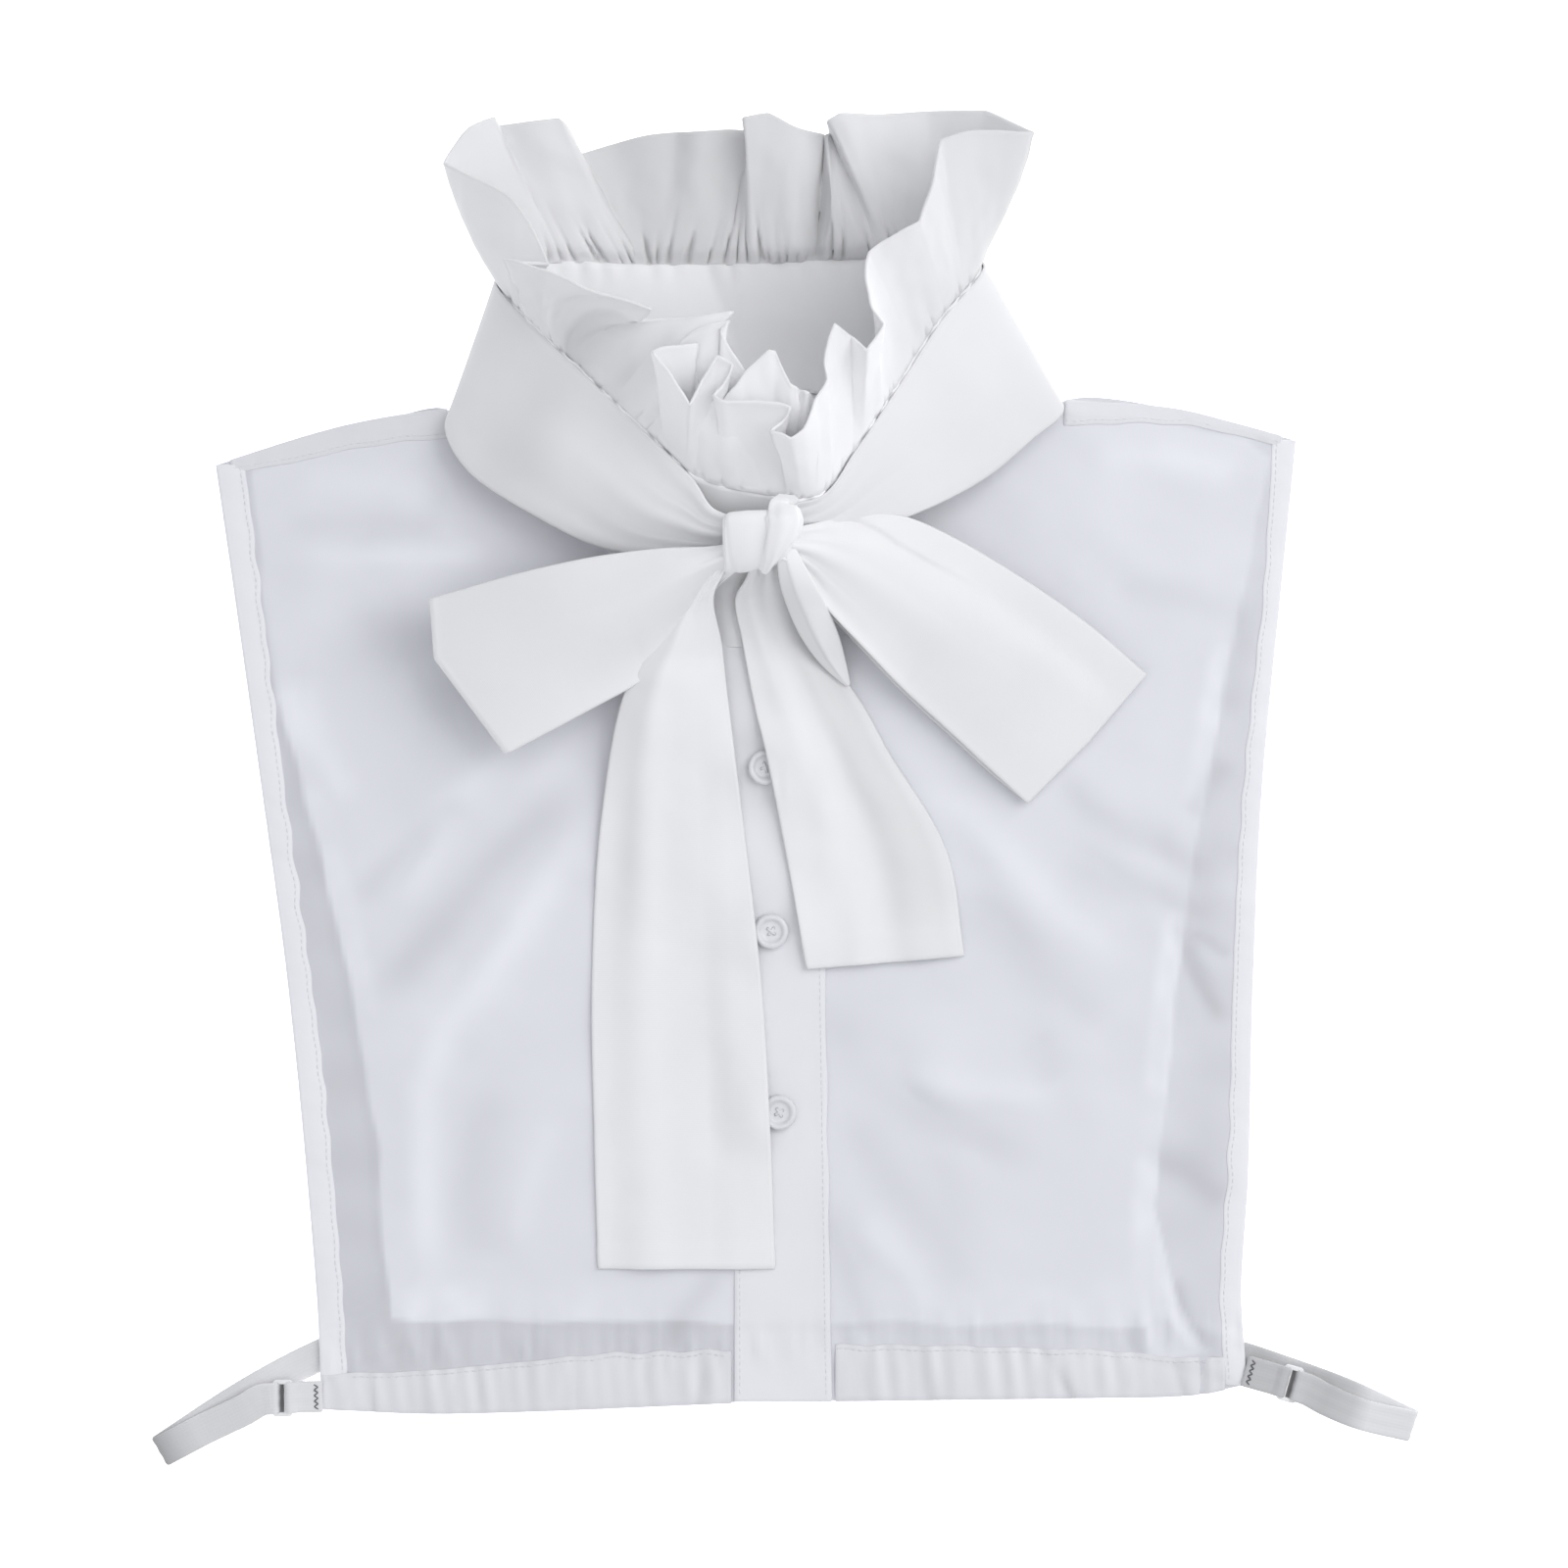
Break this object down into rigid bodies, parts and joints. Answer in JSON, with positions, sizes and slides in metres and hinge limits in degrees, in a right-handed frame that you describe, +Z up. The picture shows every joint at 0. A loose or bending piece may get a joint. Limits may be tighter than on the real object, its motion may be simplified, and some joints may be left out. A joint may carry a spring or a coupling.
{
  "type": "ruffle collar",
  "caption": "Detachable blouse front with a gathered ruffle stand collar, a tied bow, a buttoned placket and an adjustable elastic at each lower corner, lying flat.",
  "frame": {"origin": "middle of the footprint on the surface that the collar lies on", "axes": "+Z up from the surface, +Y from the hem towards the collar, +X to the right as seen from above"},
  "size_m": [0.4116, 0.4408, 0.0719],
  "materials": {
    "sheer_cloth": "semi-sheer fine plain weave, soft folds, cool white",
    "trim_cloth": "the same cloth doubled and stitched, more opaque white",
    "tie_cloth": "doubled crisp chiffon, matt white with soft creases",
    "pearl_button": "pearly translucent resin with a raised rim",
    "elastic": "ribbed woven elastic, matt white",
    "slider_plastic": "smooth white moulded plastic"
  },
  "bodies": {
    "root": {"back_panel": "sheer_cloth", "front_panel_left": "sheer_cloth", "front_panel_right": "sheer_cloth", "side_binding_left": "trim_cloth", "side_binding_right": "trim_cloth", "hem_left": "trim_cloth", "hem_right": "trim_cloth", "shoulder_seam_left": "trim_cloth", "shoulder_seam_right": "trim_cloth", "placket": "trim_cloth", "collar_stand": "tie_cloth", "ruffle": "tie_cloth", "tie_neck_band": "tie_cloth", "bow_loop_left": "tie_cloth", "bow_loop_right": "tie_cloth", "bow_tail_left": "tie_cloth", "bow_tail_right": "tie_cloth", "bow_knot": "tie_cloth", "button_1": "pearl_button", "button_2": "pearl_button", "button_3": "pearl_button", "elastic_tab_left": "elastic", "elastic_left": "elastic", "slider_left": "slider_plastic", "elastic_tab_right": "elastic", "elastic_right": "elastic", "slider_right": "slider_plastic"}
  },
  "joints": []
}
